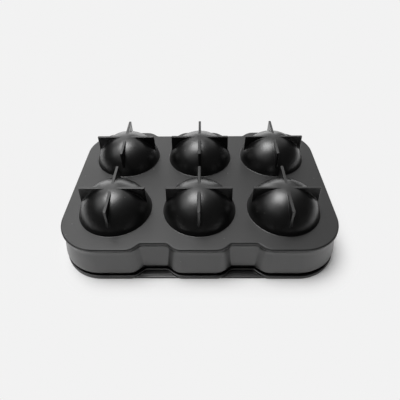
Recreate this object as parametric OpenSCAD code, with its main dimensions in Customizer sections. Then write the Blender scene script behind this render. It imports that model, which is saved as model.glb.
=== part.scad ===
// Six-ball ice mould in flexible silicone: a deep tray and the lid that nests in it.
// It stands as photographed, upside down: lid on the table, tray over it, feet up.
// Origin: centre of the lid's flat face, on the table. +X right, +Y to the rear, +Z up.

/* [Ice balls] */
// Diameter of the ice ball that one tray cup and one lid cup make
ball_d = 45; // [40:0.5:46]
// Wall of the cups
cup_wall = 1.5; // [1.4:0.1:2.2]
// Distance between ball centres along the long side
pitch_x = 55; // [54.5:0.5:60]
// Distance between ball centres along the short side
pitch_y = 55.5; // [54.5:0.5:62]
// Silicone left under the ball's pole, where the fill hole is cut
pole_wall = 1; // [0.4:0.1:1.5]
// Diameter of the small flat at each dome's pole
pole_flat_d = 3; // [2:0.5:6]

/* [Outline] */
// From the outer ball centres to the skirt's short sides
margin_x = 33.4; // [31:0.2:40]
// From the ball centres to the skirt's long sides
margin_y = 33.2; // [32.6:0.2:40]
// Radius of the four corners, seen from above
corner_r = 26; // [20:0.5:28]
// Width of a finger notch's flat back
notch_flat = 13.8; // [12:0.2:16]
// How far a finger notch steps in from the long side
notch_depth = 5.1; // [4.4:0.1:6]
// Angle of the notch's flanks to the long side
notch_angle = 42; // [36:1:48]
// Radius of the shoulders beside a notch
shoulder_r = 9.2; // [7:0.1:10]
// Radius of the notch's inner corners
notch_corner_r = 2.9; // [2.8:0.1:3.5]

/* [Tray] */
// Thickness of the deck
deck_t = 2; // [1.8:0.1:3]
// From the deck's face down to the ball centres
centre_depth = 4.6; // [4.2:0.1:6]
// Thickness of the skirt
skirt_t = 2; // [1.6:0.1:2.4]
// How far the skirt's free edge stands out past the deck
skirt_flare = 1.5; // [1:0.1:2]
// Rounding of the deck's outer edge
deck_edge_r = 0.8; // [0.5:0.1:1.4]
// Rounding of the skirt's free edge
skirt_edge_r = 0.5; // [0.3:0.1:0.7]
// Cove between skirt and deck, on the inside
cove_r = 1.5; // [0.8:0.1:2]

/* [Cross feet] */
// Length of each blade's upper edge
foot_span = 41.9; // [36:0.1:43]
// Draft of the blades' ends
foot_draft = 2; // [0.5:0.5:4]
// Thickness of the blades
foot_t = 1.8; // [1.4:0.1:2.4]
// How far the blades stay below the flat at the dome's pole
foot_below = 0.25; // [0.2:0.05:0.6]
// How deep the hub that joins the four blades is let into the dome
hub_t = 0.3; // [0.2:0.05:0.4]
// Rounding of the blades' upper corners
foot_corner_r = 0.8; // [0.4:0.1:1.5]

/* [Lid] */
// Thickness of the lid plate
lid_t = 2.6; // [2:0.1:3]
// How far the lid plate's lip stands out past the skirt's free edge
lip_out = 0.4; // [0.3:0.1:0.8]
// Rounding of the lip's upper edge
lip_edge_r = 0.5; // [0.3:0.1:0.8]
// Diameter of the fill holes
fill_hole_d = 8.5; // [6:0.5:9]
// Bevel round the fill holes, on the outer face
fill_hole_bevel = 0.3; // [0.1:0.1:0.4]
// Height of the rim that stands inside the skirt, above the plate
rim_h = 9.6; // [7:0.2:12]
// Thickness of that rim
rim_t = 1.6; // [1.2:0.1:2]
// Wall of the sockets that take the tray cups' mouths
socket_wall = 1.6; // [1.2:0.1:1.7]
// Height of the sockets above the ball centres
socket_h = 2.4; // [1.6:0.1:2.6]
// Depth of the ring that carries a socket, below the ball centres
socket_root = 2.5; // [1.5:0.1:4]

/* [Pull tabs] */
// Thickness of the pull tabs
tab_t = 1.5; // [1:0.1:1.8]
// Width of a pull tab
tab_w = 21; // [18:0.5:24]
// Height of the grip rib on a pull tab
tab_rib_h = 0.35; // [0.2:0.05:0.5]
// From the tab's free edge to the middle of its grip rib
tab_rib_in = 1.9; // [1.5:0.1:2.2]

/* [Clearances] */
// Between the skirt's free edge and the lid plate
skirt_gap = 2.5; // [1:0.1:4]
// Between the tray cups' mouths and the lid's sockets
socket_gap = 0.3; // [0.2:0.05:0.4]
// Between the lid's rim and the inside of the skirt
rim_gap = 0.4; // [0.3:0.1:0.8]

/* [Hidden] */
$fn = 96;
cut = 1; // how far a cutting solid runs past what it cuts
lap = 0.5; // how far a rounded edge reaches into the plate that it belongs to

// Ball centres, seen from above with the camera's side in front
front_left = [-pitch_x, -pitch_y / 2];
front_middle = [0, -pitch_y / 2];
front_right = [pitch_x, -pitch_y / 2];
rear_left = [-pitch_x, pitch_y / 2];
rear_middle = [0, pitch_y / 2];
rear_right = [pitch_x, pitch_y / 2];
places = [front_left, front_middle, front_right, rear_left, rear_middle, rear_right];

// Cups
cavity_r = ball_d / 2;
dome_r = cavity_r + cup_wall;
mid_r = cavity_r + cup_wall / 2;
socket_r = dome_r + socket_gap;
ring_r = socket_r + socket_wall;
pole_r = pole_flat_d / 2;

// Heights above the ball centre: the flat at the pole, the blades' tops, the hub's underside
pole_h = sqrt(dome_r * dome_r - pole_r * pole_r);
foot_h = pole_h - foot_below;
hub_h = foot_h - hub_t;

// Heights above the table
centre_z = pole_wall + cavity_r;
deck_z = centre_z + centre_depth;
deck_under_z = deck_z - deck_t;
skirt_z = lid_t + skirt_gap;

// Outline of the skirt, half length and half width
half_x = pitch_x + margin_x;
half_y = pitch_y / 2 + margin_y;
notch_x = pitch_x / 2; // the notches lie between the columns of balls
notch_y = half_y - notch_depth;
lip = skirt_flare + lip_out; // how far the lip stands out past the deck's outline

// Run of a notch's flank between its two arcs, and its width seen from the front
turn_r = shoulder_r + notch_corner_r;
flank = (notch_depth - turn_r * (1 - cos(notch_angle))) / sin(notch_angle);
flank_x = turn_r * sin(notch_angle) + flank * cos(notch_angle);

tray_colour = [0.17, 0.17, 0.175];
foot_colour = [0.20, 0.20, 0.205];
lid_colour = [0.14, 0.14, 0.145];

// Points of an arc round c, from angle a0 to a1 in n steps
function arc(c, r, a0, a1, n) =
    [for (i = [0:n]) let (a = a0 + (a1 - a0) * i / n) c + r * [cos(a), sin(a)]];

// One finger notch of the front side at x, with the outline moved out by d
function notch(x, d) = concat(
    arc([x - notch_flat / 2 - flank_x, shoulder_r - half_y], shoulder_r + d, 270, 270 + notch_angle, 5),
    arc([x - notch_flat / 2, -notch_y - notch_corner_r], notch_corner_r - d, 90 + notch_angle, 90, 3),
    arc([x + notch_flat / 2, -notch_y - notch_corner_r], notch_corner_r - d, 90, 90 - notch_angle, 3),
    arc([x + notch_flat / 2 + flank_x, shoulder_r - half_y], shoulder_r + d, 270 - notch_angle, 270, 5)
);

// Front half of the outline, from the left side to the right side
function front_edge(d) = concat(
    arc([corner_r - half_x, corner_r - half_y], corner_r + d, 180, 270, 12),
    notch(-notch_x, d),
    notch(notch_x, d),
    arc([half_x - corner_r, corner_r - half_y], corner_r + d, 270, 360, 12)
);

// Whole outline moved out by d: the rear half is the front half turned round
function outline(d) = concat(front_edge(d), -front_edge(d));

// How far the flared skirt stands out past the deck's outline at height z
function flare(z) = skirt_flare * (deck_under_z - z) / (deck_under_z - skirt_z);

// Steps [out, z] of a rounding of radius r that closes an upper edge at height z
function upper_round(out, z, r, n) =
    [for (i = [0:n]) let (a = 90 * i / n) [out - r * (1 - cos(a)), z - r * (1 - sin(a))]];

// Points of the outline at each step [out, z], ring after ring
function rings(steps) = [for (s = steps) for (p = outline(s[0])) [p[0], p[1], s[1]]];

// Side faces between ring k and ring m, of n points each
function band(k, m, n) =
    [for (i = [0:n - 1]) let (j = (i + 1) % n) [k * n + i, m * n + i, m * n + j, k * n + j]];

// Closed ring round the outline, its section of steps [out, z] listed counter-clockwise
// as it shows at the right-hand side of the mould: up the outside and down the inside
module wall_ring(steps) {
    n = len(outline(0));
    m = len(steps);
    polyhedron(
        points = rings(steps),
        faces = [for (k = [0:m - 1]) each band(k, (k + 1) % m, n)],
        convexity = 8
    );
}

// Flat plate from height z up by t, its side out by d, its upper edge rounded by r,
// with the six domes' outer spheres cut out of it
module domed_plate(d, z, t, r) {
    union() {
        difference() {
            translate([0, 0, z]) linear_extrude(t) polygon(outline(d - r));
            for (p = places) at_ball(p) sphere(r = dome_r);
        }
        wall_ring(concat(
            [[d - r - lap, z], [d, z]], upper_round(d, z + t, r, 5), [[d - r - lap, z + t]]
        ));
    }
}

// Puts a piece on the ball centre at p
module at_ball(p) {
    translate([p[0], p[1], centre_z]) children();
}

// Deck: the flat plate in which the six domes stand
module tray_deck() {
    color(tray_colour) domed_plate(0, deck_under_z, deck_t, deck_edge_r);
}

// Skirt: the tray's flared side wall, with a cove under the deck and a rounded free edge
module tray_skirt() {
    round_z = skirt_z + skirt_edge_r;
    outer = flare(round_z);
    inner = outer - skirt_t;
    color(tray_colour)
    wall_ring(concat(
        [[outer, round_z], [0, deck_under_z]],
        [for (a = [90:-30:0]) [-skirt_t - cove_r * (1 - cos(a)), deck_under_z - cove_r * (1 - sin(a))]],
        [for (a = [0:-30:-90]) [inner + skirt_edge_r * (1 - cos(a)), round_z + skirt_edge_r * sin(a)]],
        [for (a = [-90:30:-30]) [outer - skirt_edge_r * (1 - cos(a)), round_z + skirt_edge_r * sin(a)]]
    ));
}

// Dome's outer body from the ball centre up to the hub's underside
module dome_body() {
    intersection() {
        sphere(r = dome_r);
        cylinder(r = dome_r + cut, h = hub_h);
    }
}

// Tray cup: the half shell that shows as a dome, its mouth below the deck
module tray_cup(p) {
    color(tray_colour)
    at_ball(p)
    difference() {
        dome_body();
        sphere(r = cavity_r);
    }
}

// One upright blade of a cross foot, before the dome is cut out of it
module blade() {
    end_x = foot_span / 2;
    side = end_x - foot_corner_r;
    base_x = end_x + foot_h * tan(foot_draft);
    rotate([90, 0, 0])
    translate([0, 0, -foot_t / 2])
    linear_extrude(foot_t)
    polygon(concat(
        [[-base_x, 0], [base_x, 0]],
        arc([side, foot_h - foot_corner_r], foot_corner_r, 0, 90, 4),
        arc([-side, foot_h - foot_corner_r], foot_corner_r, 90, 180, 4)
    ));
}

// Cross foot: two blades that cross over a dome, and the hub that is the dome's pole
module cross_foot(p) {
    color(foot_colour)
    at_ball(p)
    union() {
        difference() {
            union() {
                blade();
                rotate([0, 0, 90]) blade();
            }
            dome_body();
        }
        intersection() {
            sphere(r = dome_r);
            translate([0, 0, hub_h]) cylinder(r = dome_r, h = pole_h - hub_h);
        }
    }
}

// What a fill hole takes away, from under the table's height up into the ball
module fill_hole() {
    hole_r = fill_hole_d / 2;
    translate([0, 0, -centre_z - cut]) cylinder(r = hole_r, h = cavity_r);
    translate([0, 0, -centre_z])
    cylinder(r1 = hole_r + fill_hole_bevel, r2 = hole_r, h = fill_hole_bevel);
}

// Lid plate: the flat face that the mould stands on, with a lip past the skirt
module lid_plate() {
    color(lid_colour)
    difference() {
        domed_plate(lip, 0, lid_t, lip_edge_r);
        for (p = places) at_ball(p) fill_hole();
    }
}

// Lid rim: the low flared wall that centres the lid inside the skirt
module lid_rim() {
    round_r = rim_t / 2;
    top_z = lid_t + rim_h;
    inset = -skirt_t - rim_gap;
    foot = inset + flare(lid_t);
    head = inset + flare(top_z - round_r);
    color(lid_colour)
    wall_ring(concat(
        [[foot, lid_t]],
        [for (a = [0:30:180]) [head - round_r * (1 - cos(a)), top_z - round_r * (1 - sin(a))]],
        [[foot - rim_t, lid_t]]
    ));
}

// Lid cup: the other half shell, with the fill hole at its pole and a socket at its mouth
module lid_cup(p) {
    root_z = -socket_root - (ring_r - cavity_r);
    color(lid_colour)
    at_ball(p)
    difference() {
        union() {
            intersection() {
                sphere(r = dome_r);
                translate([0, 0, -centre_z]) cylinder(r = dome_r + cut, h = centre_z);
            }
            rotate_extrude()
            polygon([
                [sqrt(mid_r * mid_r - root_z * root_z), root_z],
                [ring_r, -socket_root],
                [ring_r, socket_h],
                [cavity_r - cut, socket_h],
                [cavity_r - cut, root_z]
            ]);
        }
        sphere(r = cavity_r);
        cylinder(r = socket_r, h = socket_h + cut);
        fill_hole();
    }
}

// Pull tab of a front notch at x: a thin flap that fills the notch at table level
module front_tab(x) {
    edge_y = half_y + lip;
    root_y = notch_y;
    round_r = tab_t / 3;
    color(lid_colour)
    difference() {
        translate([x + tab_w / 2, -edge_y, 0])
        rotate([90, 0, -90])
        linear_extrude(tab_w)
        polygon(concat(
            [[root_y - edge_y, 0], [0, 0]],
            arc([-round_r, tab_t - round_r], round_r, 0, 90, 4),
            arc([-tab_rib_in, tab_t], tab_rib_h, 0, 180, 6),
            [[root_y - edge_y, tab_t]]
        ));
        translate([0, 0, -cut]) linear_extrude(tab_t + tab_rib_h + 2 * cut) polygon(outline(lip));
    }
}

// The rear tabs are the front ones turned round
module rear_tab(x) {
    rotate([0, 0, 180]) front_tab(-x);
}

tray_deck();
tray_skirt();
tray_cup(front_left);  // tray_cup_front_left
tray_cup(front_middle);  // tray_cup_front_middle
tray_cup(front_right);  // tray_cup_front_right
tray_cup(rear_left);  // tray_cup_rear_left
tray_cup(rear_middle);  // tray_cup_rear_middle
tray_cup(rear_right);  // tray_cup_rear_right
cross_foot(front_left);  // cross_foot_front_left
cross_foot(front_middle);  // cross_foot_front_middle
cross_foot(front_right);  // cross_foot_front_right
cross_foot(rear_left);  // cross_foot_rear_left
cross_foot(rear_middle);  // cross_foot_rear_middle
cross_foot(rear_right);  // cross_foot_rear_right
lid_plate();
lid_rim();
lid_cup(front_left);  // lid_cup_front_left
lid_cup(front_middle);  // lid_cup_front_middle
lid_cup(front_right);  // lid_cup_front_right
lid_cup(rear_left);  // lid_cup_rear_left
lid_cup(rear_middle);  // lid_cup_rear_middle
lid_cup(rear_right);  // lid_cup_rear_right
front_tab(-notch_x);  // pull_tab_front_left
front_tab(notch_x);  // pull_tab_front_right
rear_tab(-notch_x);  // pull_tab_rear_left
rear_tab(notch_x);  // pull_tab_rear_right
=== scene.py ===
"""Six-ball ice mould of black silicone, standing upside down on a pale studio floor.

The shared frame is in metres: x to the right, y to the rear, z up, the origin on the floor under
the middle of the mould. The mould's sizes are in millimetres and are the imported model's, apart from
beads and hollows of about a millimetre, which the sections name.
"""
import math

import bmesh
import bpy
from mathutils import Matrix, Vector


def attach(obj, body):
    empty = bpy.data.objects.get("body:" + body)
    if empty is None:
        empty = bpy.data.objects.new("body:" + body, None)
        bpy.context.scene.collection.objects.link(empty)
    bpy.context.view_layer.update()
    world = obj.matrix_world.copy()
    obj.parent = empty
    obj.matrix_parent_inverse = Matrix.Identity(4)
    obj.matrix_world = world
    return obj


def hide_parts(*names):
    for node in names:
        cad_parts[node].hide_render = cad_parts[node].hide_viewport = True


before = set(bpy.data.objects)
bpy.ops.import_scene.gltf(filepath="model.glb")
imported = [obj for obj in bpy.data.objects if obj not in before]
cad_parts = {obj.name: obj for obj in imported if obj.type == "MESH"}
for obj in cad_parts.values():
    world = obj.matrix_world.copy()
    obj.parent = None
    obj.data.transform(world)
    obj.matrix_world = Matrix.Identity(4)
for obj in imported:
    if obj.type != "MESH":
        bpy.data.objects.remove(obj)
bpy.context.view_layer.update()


# Camera
# A moderately wide lens close above the front of the mould, looking down at 42 degrees. The
# picture's middle lies a little under the optical axis.
eye = Vector((0.00272, -0.18239, 0.19284))
azimuth = math.radians(-0.770)
elevation = math.radians(41.832)
roll = math.radians(-0.671)
forward = Vector((
    math.sin(azimuth) * math.cos(elevation),
    math.cos(azimuth) * math.cos(elevation),
    -math.sin(elevation),
))
level_right = Vector((math.cos(azimuth), -math.sin(azimuth), 0.0))
level_up = level_right.cross(forward)
right = level_right * math.cos(roll) + level_up * math.sin(roll)
up = level_up * math.cos(roll) - level_right * math.sin(roll)

lens = bpy.data.cameras.new("camera")
lens.sensor_width = 36.0
lens.lens = 30.693
lens.shift_y = -0.05275
lens.clip_start = 0.01
camera = bpy.data.objects.new("camera", lens)
bpy.context.scene.collection.objects.link(camera)
camera.matrix_world = Matrix.Translation(eye) @ Matrix((right, up, -forward)).transposed().to_4x4()
bpy.context.scene.camera = camera
bpy.context.scene.view_settings.view_transform = "Standard"


def linear(colour):
    """Linear colour with alpha of an sRGB hex value such as "f2f2f2"."""
    parts = [int(colour[i:i + 2], 16) / 255 for i in (0, 2, 4)]
    return [p / 12.92 if p <= 0.04045 else ((p + 0.055) / 1.055) ** 2.4 for p in parts] + [1.0]


def add(tree, kind, values=(), links=(), **settings):
    """Adds a node: values and links are given by input name or number, settings by attribute."""
    node = tree.nodes.new(kind)
    for name, value in settings.items():
        setattr(node, name, value)
    for name, value in dict(values).items():
        node.inputs[name].default_value = value
    for name, socket in dict(links).items():
        tree.links.new(socket, node.inputs[name])
    return node


# Floor
# Pale studio paper that ends in front of the mould, behind the camera's view. Beside the mould it
# holds the soft shadow, and further out it turns into the even tone seen as background.
pale = linear("f2f2f2")
paper_side, paper_front, paper_rear, paper_z = 2.0, -0.15, 2.0, -0.00005
floor_mesh = bpy.data.meshes.new("studio_floor")
floor_mesh.from_pydata(
    [
        (-paper_side, paper_front, paper_z), (paper_side, paper_front, paper_z),
        (paper_side, paper_rear, paper_z), (-paper_side, paper_rear, paper_z),
    ],
    [], [(0, 1, 2, 3)],
)
floor = bpy.data.objects.new("studio_floor", floor_mesh)
bpy.context.scene.collection.objects.link(floor)

# The shadow fades out at these distances from a box under the mould. The box lies a little to the
# right, because the strongest lamp is on the left. Close to the mould some of the even tone is
# mixed in too, as light that the room throws back.
shadow_middle, shadow_half = (0.005, 0.0, 0.0), (0.060, 0.032, 1.0)
fade_from, fade_to, least_even = 0.0275, 0.0445, 0.1
paper = bpy.data.materials.new("matt_studio_paper")
paper.use_nodes = True
tree = paper.node_tree
tree.nodes.clear()
place = add(tree, "ShaderNodeTexCoord")
from_middle = add(
    tree, "ShaderNodeVectorMath", {1: shadow_middle}, {0: place.outputs["Object"]},
    operation="SUBTRACT",
)
aside = add(tree, "ShaderNodeVectorMath", links={0: from_middle.outputs[0]}, operation="ABSOLUTE")
past_side = add(
    tree, "ShaderNodeVectorMath", {1: shadow_half}, {0: aside.outputs[0]}, operation="SUBTRACT",
)
outside = add(
    tree, "ShaderNodeVectorMath", {1: (0.0, 0.0, 0.0)}, {0: past_side.outputs[0]},
    operation="MAXIMUM",
)
distance = add(tree, "ShaderNodeVectorMath", links={0: outside.outputs[0]}, operation="LENGTH")
far = add(
    tree, "ShaderNodeMapRange",
    {"From Min": fade_from, "From Max": fade_to, "To Min": least_even},
    {"Value": distance.outputs["Value"]},
)
lit = add(tree, "ShaderNodeBsdfDiffuse", {"Color": linear("fafafa")})
even = add(tree, "ShaderNodeEmission", {"Color": pale, "Strength": 1.0})
seen = add(
    tree, "ShaderNodeMixShader",
    links={0: far.outputs["Result"], 1: lit.outputs[0], 2: even.outputs[0]},
)
ray = add(tree, "ShaderNodeLightPath")
paper_mix = add(
    tree, "ShaderNodeMixShader",
    links={0: ray.outputs["Is Camera Ray"], 1: lit.outputs[0], 2: seen.outputs[0]},
)
add(tree, "ShaderNodeOutputMaterial", links={"Surface": paper_mix.outputs[0]})
floor_mesh.materials.append(paper)


# Light
# A strong overhead softbox on the left, a weaker one beside it, and panels round the rear and the
# left that the flat deck and the domes' sides mirror. The front and the right stay dim.
lamp_distance, lamp_aim = 1.4, Vector((0, 0, 0.03))


def softbox(name, bearing, height, width, depth, tone):
    """Panel of even tone, at a bearing (degrees to the right of the rear) and a height in degrees
    above the horizon, that faces the mould."""
    lamp = bpy.data.lights.new(name, "AREA")
    lamp.shape = "RECTANGLE"
    lamp.size = width
    lamp.size_y = depth
    lamp.energy = math.pi * width * depth * tone
    piece = bpy.data.objects.new(name, lamp)
    bpy.context.scene.collection.objects.link(piece)
    b, h = math.radians(bearing), math.radians(height)
    away = Vector((math.sin(b) * math.cos(h), math.cos(b) * math.cos(h), math.sin(h)))
    piece.location = lamp_aim + away * lamp_distance
    piece.rotation_euler = away.to_track_quat("Z", "Y").to_euler()
    piece.visible_camera = False


softbox("overhead_softbox", -62, 76, 0.72, 0.72, 7.8)
softbox("overhead_fill", -15, 70, 0.86, 0.86, 1.3)
softbox("left_panel", -92, 55, 0.86, 0.86, 1.2)
softbox("front_left_panel", -135, 55, 0.86, 0.86, 0.3)
softbox("right_panel", 45, 52, 0.86, 0.86, 0.25)
softbox("rear_left_panel", -32, 33, 0.86, 0.86, 1.3)
softbox("rear_panel", 0, 33, 0.78, 0.86, 0.55)
softbox("rear_right_panel", 30, 33, 0.86, 0.86, 0.5)
softbox("low_backdrop", -8, 6, 1.5, 0.6, 2.3)

world = bpy.data.worlds.new("dim_room")
bpy.context.scene.world = world
world.use_nodes = True
tree = world.node_tree
tree.nodes.clear()
room = add(tree, "ShaderNodeBackground", {"Color": linear("404040"), "Strength": 1.0})
backdrop = add(tree, "ShaderNodeBackground", {"Color": pale, "Strength": 1.0})
ray = add(tree, "ShaderNodeLightPath")
sky = add(
    tree, "ShaderNodeMixShader",
    links={0: ray.outputs["Is Camera Ray"], 1: room.outputs[0], 2: backdrop.outputs[0]},
)
add(tree, "ShaderNodeOutputWorld", links={"Surface": sky.outputs[0]})


# Tray shell
# The deck and the skirt of the tray: one wall of black silicone rubber, pressed in a steel mould
# whose spark-eroded faces leave the matt skin. The deck has a bead round its edge, and the skirt
# under it ends in a blunt free edge above the lid's lip.
half_x, half_y = 88.4, 60.95
corner_r = 26.0
notch_x, notch_flat, notch_depth, notch_angle = 27.5, 13.8, 5.1, 42.0
shoulder_r, notch_corner_r = 9.2, 2.9
columns = {"left": -55.0, "middle": 0.0, "right": 55.0}
rows = {"front": -27.75, "rear": 27.75}
centre_z, centre_depth, deck_t = 23.5, 4.6, 2.0
deck_z = centre_z + centre_depth
skirt_z, skirt_t, skirt_flare = 5.1, 2.0, 1.5
dome_r = 24.0


def outline(out):
    """Columns (x, y, nx, ny) of the mould's outline moved out by out, counter-clockwise."""
    half = []

    def turn(x, y, r, start, end, steps, side=1):
        for i in range(steps + 1):
            a = math.radians(start + (end - start) * i / steps)
            half.append((
                x + (r + side * out) * math.cos(a), y + (r + side * out) * math.sin(a),
                side * math.cos(a), side * math.sin(a),
            ))

    a = math.radians(notch_angle)
    turn_r = shoulder_r + notch_corner_r
    slope = (notch_depth - turn_r * (1 - math.cos(a))) / math.sin(a)
    flank_x = turn_r * math.sin(a) + slope * math.cos(a)
    inner_y = notch_depth - half_y - notch_corner_r
    turn(corner_r - half_x, corner_r - half_y, corner_r, 180, 270, 30)
    for x in (-notch_x, notch_x):
        edge = notch_flat / 2
        turn(x - edge - flank_x, shoulder_r - half_y, shoulder_r, 270, 270 + notch_angle, 12)
        turn(x - edge, inner_y, notch_corner_r, 90 + notch_angle, 90, 8, -1)
        turn(x + edge, inner_y, notch_corner_r, 90, 90 - notch_angle, 8, -1)
        turn(x + edge + flank_x, shoulder_r - half_y, shoulder_r, 270 - notch_angle, 270, 12)
    turn(half_x - corner_r, corner_r - half_y, corner_r, 270, 360, 30)
    return half + [(-x, -y, -nx, -ny) for x, y, nx, ny in half]


def soften(corners, steps=6, closed=False):
    """Section points (u, v, nu, nv) along corners (u, v, radius), each corner rounded off.

    The section runs counter-clockwise round the silicone. A corner given with four numbers is a
    point with its own outward direction and stays as it is.
    """
    points = []
    count = len(corners)
    for i, corner in enumerate(corners):
        if len(corner) == 4:
            points.append(tuple(corner))
            continue
        here = Vector(corner[:2])
        before = Vector(corners[i - 1][:2]) if i or closed else None
        after = Vector(corners[(i + 1) % count][:2]) if i < count - 1 or closed else None
        t1 = (here - before).normalized() if before else (after - here).normalized()
        t2 = (after - here).normalized() if after else t1
        if not before or not after:
            points.append((here.x, here.y, t1.y, -t1.x))
            continue
        bend = math.atan2(t1.x * t2.y - t1.y * t2.x, t1.dot(t2))
        side = 1 if bend > 0 else -1
        n1 = Vector((t1.y, -t1.x))
        centre = here - t1 * corner[2] * math.tan(abs(bend) / 2) - n1 * corner[2] * side
        for k in range(steps + 1):
            a = bend * k / steps
            n = Vector((n1.x * math.cos(a) - n1.y * math.sin(a),
                        n1.x * math.sin(a) + n1.y * math.cos(a)))
            p = centre + n * corner[2] * side
            points.append((p.x, p.y, n.x, n.y))
    return points


class Skin:
    """Points, outward directions and faces of one silicone piece while it is built, in mm."""

    def __init__(self):
        self.points, self.outward, self.faces = [], [], []

    def loop(self, places):
        """Adds points (x, y, z, nx, ny, nz) and gives their numbers."""
        start = len(self.points)
        for place in places:
            self.points.append(place[:3])
            self.outward.append(place[3:])
        return list(range(start, len(self.points)))

    def band(self, a, b):
        """Faces between loop a and loop b, of equal length."""
        for i in range(len(a)):
            j = (i + 1) % len(a)
            self.faces.append((a[i], a[j], b[j], b[i]))

    def bands(self, loops, closed=False):
        """Faces between each loop and the next, and from the last to the first if closed."""
        for a, b in zip(loops, loops[1:] + (loops[:1] if closed else [])):
            self.band(a, b)

    def flat(self, loops, facing):
        """Fills the level area between loops; facing is 1 for a face that looks up, else -1."""
        scratch = bmesh.new()
        numbers = {}
        for loop in loops:
            corners = [scratch.verts.new(self.points[i]) for i in loop]
            numbers.update(zip(corners, loop))
            for i, corner in enumerate(corners):
                scratch.edges.new((corners[i - 1], corner))
        bmesh.ops.triangle_fill(scratch, use_beauty=True, edges=scratch.edges[:])
        for face in scratch.faces:
            face.normal_update()
            order = [numbers[v] for v in face.verts]
            self.faces.append(order if face.normal.z * facing > 0 else order[::-1])
        scratch.free()

    def sweep(self, section):
        """Loops of a section carried round the mould's outline."""
        loops = []
        for out, z, nu, nv in section:
            loops.append(self.loop(
                [(x, y, z, nx * nu, ny * nu, nv) for x, y, nx, ny in outline(out)]
            ))
        return loops

    def spin(self, section, centre, angles):
        """Loops of a section (radius, height) turned about a ball's upright axis."""
        x, y, z = centre
        return [
            self.loop([
                (x + r * math.cos(a), y + r * math.sin(a), z + h,
                 nr * math.cos(a), nr * math.sin(a), nh) for a in angles
            ])
            for r, h, nr, nh in section
        ]

    def finish(self, name, body, nodes, material):
        """Makes the Blender object, in metres, in place of its CAD nodes."""
        mesh = bpy.data.meshes.new(name)
        mesh.from_pydata([[c / 1000 for c in p] for p in self.points], [], self.faces)
        mesh.validate()
        mesh.polygons.foreach_set("use_smooth", [True] * len(mesh.polygons))
        mesh.normals_split_custom_set_from_vertices(self.outward)
        mesh.materials.append(material)
        piece = bpy.data.objects.new(name, mesh)
        bpy.context.scene.collection.objects.link(piece)
        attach(piece, body)
        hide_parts(*nodes)
        return piece


# Sizes of the skin's patterns. The real grain, of about 0.05 mm, is too fine to show, so it is
# drawn ten times as coarse. Clouds are where the skin is a little more or less matt. Dust specks
# lie a few to each dome, since only those whose middle falls near the surface show.
grain_mm, cloud_mm, dust_every_mm = 0.5, 22, 8
speck_core, speck_rim = 0.02, 0.045  # in parts of dust_every_mm
uneven_by = 0.03


def silicone(name, colour, roughness, ior=1.45):
    """Moulded silicone rubber: nearly black, with a low waxy gloss over a fine matt grain."""
    material = bpy.data.materials.new(name)
    material.use_nodes = True
    tree = material.node_tree
    tree.nodes.clear()
    place = add(tree, "ShaderNodeTexCoord")
    grain = add(
        tree, "ShaderNodeTexNoise", {"Scale": 1000 / grain_mm, "Detail": 2.0, "Roughness": 0.6},
        {"Vector": place.outputs["Object"]},
    )
    cloud = add(
        tree, "ShaderNodeTexNoise", {"Scale": 1000 / cloud_mm, "Detail": 3.0, "Roughness": 0.55},
        {"Vector": place.outputs["Object"]},
    )
    uneven = add(
        tree, "ShaderNodeMapRange",
        {
            "From Min": 0.3, "From Max": 0.7,
            "To Min": roughness - uneven_by, "To Max": roughness + uneven_by,
        },
        {"Value": cloud.outputs["Fac"]},
    )
    relief = add(
        tree, "ShaderNodeBump", {"Strength": 0.12, "Distance": 0.0001},
        {"Height": grain.outputs["Fac"]},
    )
    speck = add(
        tree, "ShaderNodeTexVoronoi", {"Scale": 1000 / dust_every_mm},
        {"Vector": place.outputs["Object"]},
    )
    dust = add(
        tree, "ShaderNodeMapRange",
        {"From Min": speck_core, "From Max": speck_rim, "To Min": 1.0, "To Max": 0.0},
        {"Value": speck.outputs["Distance"]},
    )
    tone = add(
        tree, "ShaderNodeMixRGB", {"Color1": linear(colour), "Color2": linear("6a6965")},
        {"Fac": dust.outputs["Result"]},
    )
    skin = add(
        tree, "ShaderNodeBsdfPrincipled", {"IOR": ior, "Specular IOR Level": 1.0},
        {
            "Base Color": tone.outputs["Color"],
            "Roughness": uneven.outputs["Result"],
            "Normal": relief.outputs["Normal"],
        },
    )
    add(tree, "ShaderNodeOutputMaterial", links={"Surface": skin.outputs[0]})
    return material


# One rubber with three skins: the domes have a soft sheen, the deck is matt enough to mirror nothing,
# and the wall, which comes out of the mould sliding, shines a little more. The wall's colour is also
# a shade lighter than the rest, which is painted light that brightens the side wall.
tray_silicone = silicone("moulded_black_silicone_tray", "030303", 0.33)
deck_silicone = silicone("moulded_black_silicone_deck", "030303", 0.5, 1.44)
# The wall's colour, 050505 against 030303 elsewhere, is painted light that lightens the side wall.
lighter_painted_wall_silicone = silicone("moulded_black_silicone_wall_painted_lighter", "050505", 0.33, 1.56)

# The cross foot seen from above: span and thickness of its blades, and the radii of a blade's end,
# of the fillet at its root and of the fold between two blades. The deck's round holes have a point
# for each point of the cross, so both are needed here.
foot_span, foot_t = 41.9, 1.8
end_r, root_r, fold_r = 0.5, 0.4, 0.5
side_steps, round_steps = 28, 4


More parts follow.
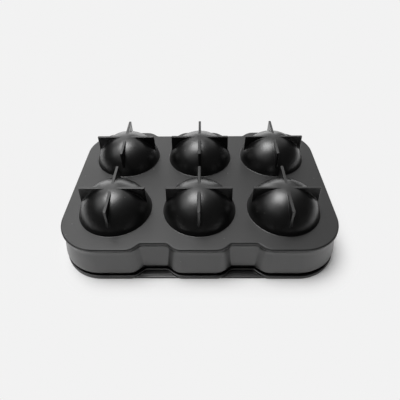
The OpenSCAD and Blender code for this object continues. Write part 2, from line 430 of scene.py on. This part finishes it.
def blade_outline():
    """Columns (x, y, nx, ny) of the cross seen from above, counter-clockwise, arm by arm.

    Each arm has one side from root to tip, the rounded tip, the other side back, and the fold to
    the next arm.
    """
    h, tip = foot_t / 2, foot_span / 2
    first = h + fold_r
    side = [(first + (tip - end_r - first) * i / side_steps, -h, 0.0, -1.0)
            for i in range(side_steps + 1)]
    arm = list(side)
    for y, start, steps in ((end_r - h, -90, range(1, round_steps + 1)),
                            (h - end_r, 0, range(round_steps))):
        for i in steps:
            a = math.radians(start + 90 * i / round_steps)
            arm.append((tip - end_r + end_r * math.cos(a), y + end_r * math.sin(a),
                        math.cos(a), math.sin(a)))
    arm += [(x, -y, nx, -ny) for x, y, nx, ny in reversed(side)]
    for i in range(1, round_steps):
        a = math.radians(270 - 90 * i / round_steps)
        arm.append((first + fold_r * math.cos(a), first + fold_r * math.sin(a),
                    -math.cos(a), -math.sin(a)))
    cross = []
    for c, s in ((1, 0), (0, 1), (-1, 0), (0, -1)):
        cross += [(x * c - y * s, x * s + y * c, nx * c - ny * s, nx * s + ny * c)
                  for x, y, nx, ny in arm]
    return cross


cross = blade_outline()
per_arm = len(cross) // 4
# Bearings at which the dome's lower loops and the deck's holes have their points
lead = (per_arm - (round_steps - 1)) / 2 - 0.5
bearings = [math.radians(90.0 * (i - lead) / per_arm) for i in range(len(cross))]
hole_fillet_z = centre_depth + root_r
hole_r = math.sqrt((dome_r + root_r) ** 2 - hole_fillet_z ** 2)
centres = {
    f"{row}_{column}": (x, y, centre_z)
    for row, y in rows.items() for column, x in columns.items()
}

# The outer wall: a hollow under the bead of the deck's edge, then a slope out, which bends back in
# above the free edge. Each stage is (height, slope outward per height going down).
bead, bead_h = 0.25, 1.7
stages = [(deck_z - 1.75, -0.65), (deck_z - 3.5, -0.3), (deck_z - 6.2, 0.1), (20.5, 0.2),
          (10.5, 0.18), (skirt_z + 2.6, 0.08), (skirt_z + 0.7, -0.5)]
stage_steps = 8
wall, out = [], bead - 0.05
for (z0, s0), (z1, s1) in zip(stages, stages[1:]):
    drop = (z0 - z1) / stage_steps
    for k in range(stage_steps):
        slope = s0 + (s1 - s0) * (k + 0.5) / stage_steps
        out += slope * drop
        n = Vector((1.0, slope)).normalized()
        wall.append((out - slope * drop / 2, z0 - drop * (k + 0.5), n.x, n.y))
wall.reverse()
shell = Skin()
loops = shell.sweep(soften([
    (-3.7, deck_z - deck_t, 0),
    (-skirt_t, deck_z - deck_t, 1.5),
    (skirt_flare - skirt_t, skirt_z, 0.5),
    (skirt_flare, skirt_z, 0.8),
    *wall,
    (bead, deck_z - bead_h, 0.1),
    (bead, deck_z, 0.9),
    (-3.0, deck_z, 0),
], 8))
shell.bands(loops)
tops, unders = [], []
for centre in centres.values():
    top, under = shell.spin(
        [(hole_r, centre_depth, 0.0, 1.0), (hole_r, centre_depth - deck_t, 0.0, -1.0)],
        centre, bearings,
    )
    shell.band(top, under)
    tops.append(top)
    unders.append(under)
shell.flat([loops[-1]] + tops, 1)
shell.flat([loops[0]] + unders, -1)
piece = shell.finish(
    "deck_and_skirt", "tray", ["tray_deck", "tray_skirt"], deck_silicone,
)
piece.data.materials.append(lighter_painted_wall_silicone)
# The faces below this height, the outer wall, take the wall's skin, whose lighter colour is painted
# light.
wall_skin_z = (deck_z - 1.3) / 1000
for face in piece.data.polygons:
    face.material_index = int(face.center.z < wall_skin_z)


# Ball cups
# Six half-ball cups of the tray, standing up as domes, each with the cross-shaped foot that the
# mould stands on in use. Cup and cross are moulded together, with small fillets at every root.
cavity_r, foot_h = 22.5, 23.70
foot_draft, top_r = math.radians(2), 0.22
fillet_steps, dome_steps = 5, 16


def slerp(a, b, t):
    """Unit vector between unit vectors a and b."""
    angle = a.angle(b, 0.0)
    if angle < 1e-6:
        return a.copy()
    return (a * math.sin((1 - t) * angle) + b * math.sin(t * angle)) / math.sin(angle)


def skin(x, y, out=0.0):
    """Point over (x, y) and outward direction of the dome's skin moved out by out."""
    point = Vector((x, y, math.sqrt((dome_r + out) ** 2 - x * x - y * y)))
    return point, point.normalized()


def dome_rows():
    """Rows of the cup's outside from the cross's top edge down to the deck, round the axis.

    The blades end below the dome's pole, so toward the pole they sink into the dome.
    """
    base_polar = math.atan2(hole_r, hole_fillet_z)
    rows_of_cup = [[] for _ in range(round_steps + 1 + fillet_steps + 1 + dome_steps)]
    for (x, y, nx, ny), bearing in zip(cross, bearings):
        under, lean = skin(x, y)
        step = foot_h - under.z
        soft = math.hypot(step, 0.05)
        height = (step + soft) / 2
        upper = lean * (1 - step / soft) / 2 / lean.z
        upper = Vector((upper.x, upper.y, 1.0)).normalized()
        edge = min(top_r, 0.45 * height)
        root = min(root_r, 0.5 * height)
        end_on = max(0.0, nx * x + ny * y) / math.hypot(x, y)
        wall = Vector((nx, ny, end_on * math.sin(foot_draft))).normalized()
        column = []
        for k in range(round_steps + 1):
            a = math.radians(90 * (1 - k / round_steps))
            n = slerp(upper, wall, k / round_steps)
            column.append((
                x - nx * edge * (1 - math.cos(a)), y - ny * edge * (1 - math.cos(a)),
                under.z + height - edge * (1 - math.sin(a)), *n,
            ))
        drift = 1 + 2 * height * math.tan(foot_draft) / foot_span
        cx = x * (drift if abs(x) > abs(y) else 1) + nx * root
        cy = y * (drift if abs(y) > abs(x) else 1) + ny * root
        ball, rest = skin(cx, cy, root)
        for k in range(fillet_steps + 1):
            n = slerp(wall, rest, k / fillet_steps)
            column.append((*(ball - n * root), *n))
        polar, azimuth_here = math.acos(rest.z), math.atan2(rest.y, rest.x)
        swing = (bearing - azimuth_here + math.pi) % (2 * math.pi) - math.pi
        for k in range(1, dome_steps + 1):
            part = k / dome_steps
            p, b = polar + (base_polar - polar) * part, azimuth_here + swing * part
            n = (math.sin(p) * math.cos(b), math.sin(p) * math.sin(b), math.cos(p))
            column.append(tuple(dome_r * c for c in n) + n)
        for row, point in zip(rows_of_cup, column):
            row.append(point)
    return rows_of_cup


def beside(r, z):
    """Distance from a ball's axis to its sphere of radius r at height z."""
    return math.sqrt(r * r - z * z)


cup_rows = dome_rows()
# Below the dome: the fillet onto the deck, the wall through the deck and down to the mouth, the
# mouth's rounded rim, and the half-ball inside
lower = []
fillet_start = math.atan2(hole_fillet_z, hole_r)
for k in range(1, fillet_steps + 1):
    a = fillet_start + (math.pi / 2 - fillet_start) * k / fillet_steps
    lower.append((hole_r - root_r * math.cos(a), hole_fillet_z - root_r * math.sin(a),
                  math.cos(a), math.sin(a)))
lower.append((hole_r, centre_depth - deck_t, 1.0, 0.0))
mouth = [
    (beside(dome_r, z), z, beside(dome_r, z) / dome_r, z / dome_r)
    for z in (2.7, 1.8, 0.9, 0.4)
]
inner = [
    (cavity_r * math.cos(math.radians(a)), cavity_r * math.sin(math.radians(a)),
     -math.cos(math.radians(a)), -math.sin(math.radians(a)))
    for a in [1, 3] + list(range(6, 90, 4))
]
mouth += [(dome_r - 0.1, 0.1, 0.7, -0.7), (dome_r - 0.3, 0.0, 0.0, -1.0),
          (cavity_r + 0.3, 0.0, 0.0, -1.0), (cavity_r + 0.1, 0.1, -0.7, -0.7)] + inner

for name, centre in centres.items():
    cup = Skin()
    x, y, z = centre
    loops = [
        cup.loop([(x + p[0], y + p[1], z + p[2], *p[3:]) for p in row]) for row in cup_rows
    ]
    loops += cup.spin(lower + mouth, centre, bearings)
    cup.bands(loops[::-1])
    top = loops[0]
    pole = cup.loop([(x, y, z + dome_r, 0.0, 0.0, 1.0)])[0]
    for k in range(4):
        start = k * per_arm
        back = start + per_arm - round_steps
        for i in range(side_steps):
            cup.faces.append((top[start + i], top[start + i + 1], top[back - i - 1], top[back - i]))
        cup.faces.append(top[start + side_steps:back - side_steps + 1])
        cup.faces.append((pole, top[start], top[back]))
        for i in range(back, back + round_steps):
            cup.faces.append((pole, top[i], top[(i + 1) % len(top)]))
    pole = cup.loop([(x, y, z + cavity_r, 0.0, 0.0, -1.0)])[0]
    last = loops[-1]
    for i, a in enumerate(last):
        cup.faces.append((pole, last[(i + 1) % len(last)], a))
    cup.finish(
        f"ball_cup_{name}", "tray", [f"tray_cup_{name}", f"cross_foot_{name}"],
        tray_silicone,
    )


# Lid base
# The flat lid, moulded of the same silicone: a plate with a lip that shows past the skirt and has a
# low bead along its edge, and the rim that centres the lid inside the skirt. Its skin is a little
# more matt than the domes'.
lid_silicone = silicone("moulded_black_silicone_lid", "030303", 0.35)
lid_t, lip_out, lip_h, rim_h, rim_t = 2.6, 1.9, 3.2, 9.6, 1.6
rim_low, rim_high = -0.72, -1.40
plate_low_r = beside(dome_r, centre_z)
plate_top_r = beside(dome_r, centre_z - lid_t)

base = Skin()
loops = base.sweep(soften([
    (-3.0, 0.0, 0),
    (lip_out - 0.15, 0.0, 0.25),
    (lip_out, 1.4, 0.6),
    (lip_out, lip_h - 0.14, 0.3),
    (lip_out - 0.5, lip_h, 0.3),
    (lip_out - 1.4, lip_h, 0.3),
    (lip_out - 1.9, lid_t, 0.3),
    (rim_low, lid_t, 0.3),
    (rim_high, lid_t + rim_h, 0.75),
    (rim_high - rim_t, lid_t + rim_h, 0.75),
    (rim_low - rim_t, lid_t, 0.4),
    (-3.2, lid_t, 0),
], 6))
base.bands(loops)
tops, unders = [], []
for centre in centres.values():
    top, under = base.spin(
        [(plate_top_r, lid_t - centre_z, 0.0, 1.0), (plate_low_r, -centre_z, 0.0, -1.0)],
        centre, bearings,
    )
    base.band(top, under)
    tops.append(top)
    unders.append(under)
base.flat([loops[-1]] + tops, 1)
base.flat([loops[0]] + unders, -1)
base.finish("lid_base", "lid", ["lid_plate", "lid_rim"], lid_silicone)


# Lid cups
# Half-ball cups of the lid, moulded with it, each with the fill hole at its pole, on the table, and
# at its mouth the socket that takes the tray cup.
socket_r, ring_r, socket_h, socket_root = 24.3, 25.9, 2.4, 2.5
fill_r = 4.25
outer = [
    (beside(dome_r, z), z, beside(dome_r, z) / dome_r, z / dome_r)
    for z in [-23.4, -23.1, -22.6, -22.0, -21.3] + [-20.6 + 0.8 * k for k in range(17)]
]
inside = [
    (beside(cavity_r, z), z, -beside(cavity_r, z) / cavity_r, -z / cavity_r)
    for z in [-0.5, -1.5] + [-3.0 - 1.5 * k for k in range(12)] + [-20.6, -21.3, -21.9]
]
section = soften([
    (fill_r + 0.3, -centre_z, 0.05),
    (plate_low_r, -centre_z, 0.02),
    *outer,
    (23.5, -4.9, 0.2),
    (ring_r, -socket_root, 0.5),
    (ring_r, socket_h, 0.5),
    (socket_r, socket_h, 0.3),
    (socket_r, 0.0, 0.2),
    (cavity_r, 0.0, 0.15),
    *inside,
    (fill_r, -beside(cavity_r, fill_r) - 0.02, 0.05),
    (fill_r, -centre_z + 0.3, 0.05),
], 4, closed=True)
for name, centre in centres.items():
    cup = Skin()
    cup.bands(cup.spin(section, centre, bearings), closed=True)
    cup.finish(
        f"lid_ball_cup_{name}", "lid", [f"lid_cup_{name}"], lid_silicone,
    )


# Pull tabs
# Thin flaps of the lid, moulded with it, that fill the finger notches at table level. Each slopes
# down to its free edge, along which it has a low grip rib.
tab_t, tab_slope, slope_in = 1.5, 0.15, 2.9
rib_h, rib_half, rib_in = 0.35, 0.5, 1.9
tab_top_r, tab_foot_r = 0.4, 0.2
tab_short, tab_steps = 0.5, 48


def lip_edge_y(x):
    """Where the lip's outline runs in a front notch, at x from the notch's middle."""
    ring = sorted((px + notch_x, py) for px, py, *_ in outline(lip_out)
                  if -54 < px < 0 and py < -50)
    for (x0, y0), (x1, y1) in zip(ring, ring[1:]):
        if x0 <= x <= x1 and x1 > x0:
            return y0 + (y1 - y0) * (x - x0) / (x1 - x0)
    return ring[0][1]


def tab_rows():
    """Section rows (distance from the free edge, height) of a tab, back edge to free edge."""
    def top(inset):
        return tab_t - tab_slope * max(0.0, slope_in - inset)

    rows_of_tab = [(None, tab_t), (3.1, tab_t), (2.7, top(2.7))]
    for k in range(9):
        a = math.radians(180 * k / 8)
        inset = rib_in + rib_half * math.cos(a)
        rows_of_tab.append((inset, top(inset) + rib_h * math.sin(a)))
    rows_of_tab += [(rib_in - 0.75, top(rib_in - 0.75))]
    for k in range(7):
        a = math.radians(90 * k / 6)
        rows_of_tab.append((
            tab_top_r - tab_top_r * math.sin(a),
            top(tab_top_r) - tab_top_r + tab_top_r * math.cos(a),
        ))
    for k in range(5):
        a = math.radians(90 * k / 4)
        rows_of_tab.append((
            tab_foot_r - tab_foot_r * math.cos(a), tab_foot_r - tab_foot_r * math.sin(a),
        ))
    rows_of_tab += [(None, 0.0)]
    return rows_of_tab


# The free edge lies just inside the lip's outermost line, and its ends run into the lip's lobes
tab_edge = half_y + lip_out - tab_short
tab_reach = next(x / 20 for x in range(200, 300) if lip_edge_y(x / 20) < -tab_edge + 0.03)
for row, flip in (("front", 1), ("rear", -1)):
    for column, side in (("left", -1), ("right", 1)):
        tab = bmesh.new()
        stations = []
        for i in range(tab_steps + 1):
            x = tab_reach * (2 * i / tab_steps - 1)
            back = lip_edge_y(x) - 0.02
            line = []
            for inset, z in tab_rows():
                y = back if inset is None else min(back, -tab_edge + inset)
                line.append(tab.verts.new(
                    (flip * (x + flip * side * notch_x) / 1000, flip * y / 1000, z / 1000)
                ))
            stations.append(line)
        for a, b in zip(stations, stations[1:]):
            for k in range(len(a)):
                m = (k + 1) % len(a)
                tab.faces.new((a[k], b[k], b[m], a[m]))
        tab.faces.new(stations[0])
        tab.faces.new(stations[-1][::-1])
        bmesh.ops.remove_doubles(tab, verts=tab.verts, dist=1e-6)
        bmesh.ops.recalc_face_normals(tab, faces=tab.faces)
        mesh = bpy.data.meshes.new(f"grip_tab_{row}_{column}")
        tab.to_mesh(mesh)
        tab.free()
        for face in mesh.polygons:
            face.use_smooth = True
        mesh.set_sharp_from_angle(angle=math.radians(35))
        mesh.materials.append(lid_silicone)
        piece = bpy.data.objects.new(f"grip_tab_{row}_{column}", mesh)
        bpy.context.scene.collection.objects.link(piece)
        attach(piece, "lid")
        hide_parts(f"pull_tab_{row}_{column}")

bpy.context.view_layer.update()
